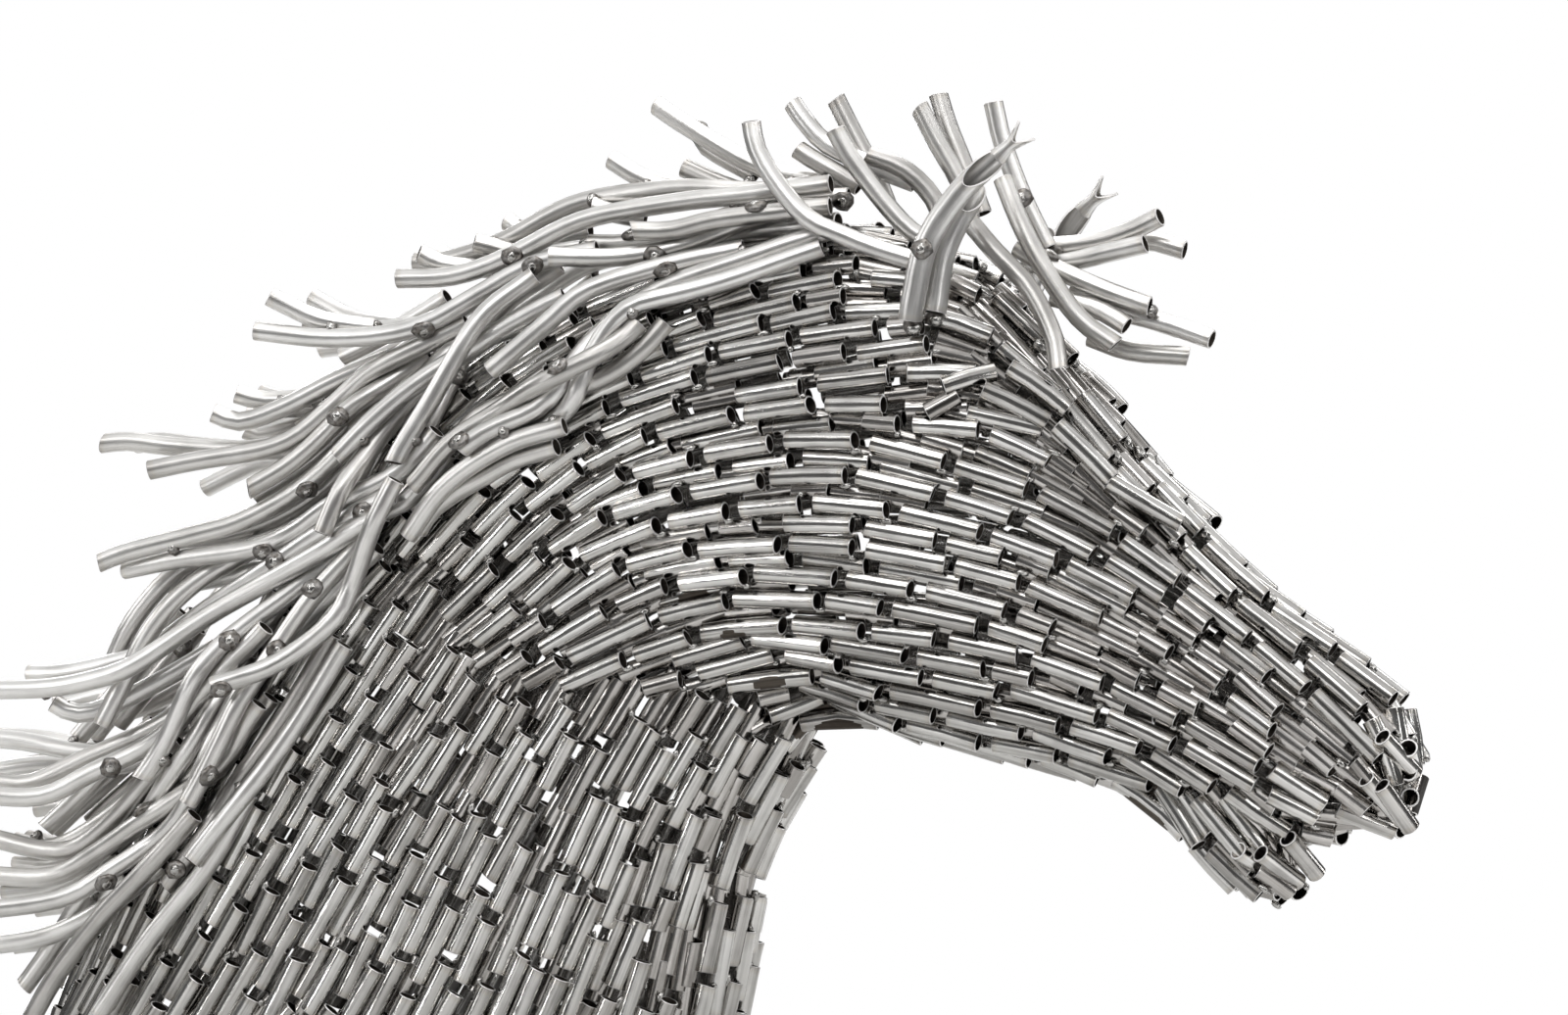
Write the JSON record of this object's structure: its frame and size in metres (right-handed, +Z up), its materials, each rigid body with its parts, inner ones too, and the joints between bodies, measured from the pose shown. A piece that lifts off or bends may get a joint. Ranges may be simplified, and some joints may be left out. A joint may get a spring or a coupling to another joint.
{
  "type": "pipe horse head sculpture",
  "caption": "Life-size horse's head and neck welded from short steel tubes in rows, with a mane, forelock and ears of long bent tubes, cut flat at the base",
  "frame": {"origin": "the middle of the flat underside of the neck", "axes": "+X forward, toward the muzzle; +Z up; the near side, where the mane is fullest, is -Y"},
  "size_m": [1.2486, 0.2772, 0.7849],
  "materials": {
    "short_tubes": "satin stainless tube with lengthwise streaks and darkened weld ends",
    "bent_tubes": "satin stainless tube with lengthwise streaks",
    "ear_tubes": "satin stainless tube, cut open obliquely and forked at the tip"
  },
  "bodies": {
    "root": {"hide": "short_tubes", "mane_upper": "bent_tubes", "mane_middle": "bent_tubes", "mane_lower": "bent_tubes", "mane_far_side": "bent_tubes", "forelock": "bent_tubes", "ear_near": "ear_tubes", "ear_far": "ear_tubes"}
  },
  "joints": []
}
